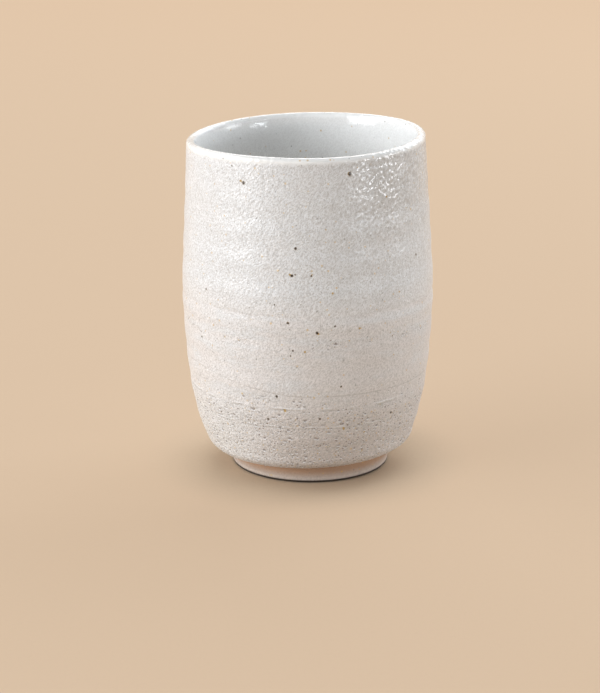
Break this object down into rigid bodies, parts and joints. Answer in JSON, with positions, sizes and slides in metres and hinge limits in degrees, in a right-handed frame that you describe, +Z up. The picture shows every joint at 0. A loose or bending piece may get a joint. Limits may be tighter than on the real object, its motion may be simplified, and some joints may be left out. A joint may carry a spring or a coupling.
{
  "type": "yunomi tea cup",
  "caption": "Tall handleless stoneware tea cup with a softly swelling wall, a bare turned foot ring, two white glaze coats outside and a glossy liner inside.",
  "frame": {"origin": "centre of the foot's ground face, on the cup's axis", "axes": "+Z up along the cup's axis, towards the lip; +X and +Y are square to it, and any turn about Z is the same cup"},
  "size_m": [0.0748, 0.0748, 0.1],
  "materials": {
    "foot_clay": "matte",
    "body_clay": "matte",
    "first_coat": "satin",
    "second_coat": "satin",
    "liner": "gloss"
  },
  "bodies": {
    "root": {"foot_ring": "foot_clay", "clay_body": "body_clay", "outer_glaze": "first_coat", "rim_glaze": "second_coat", "inner_glaze": "liner"}
  },
  "joints": []
}
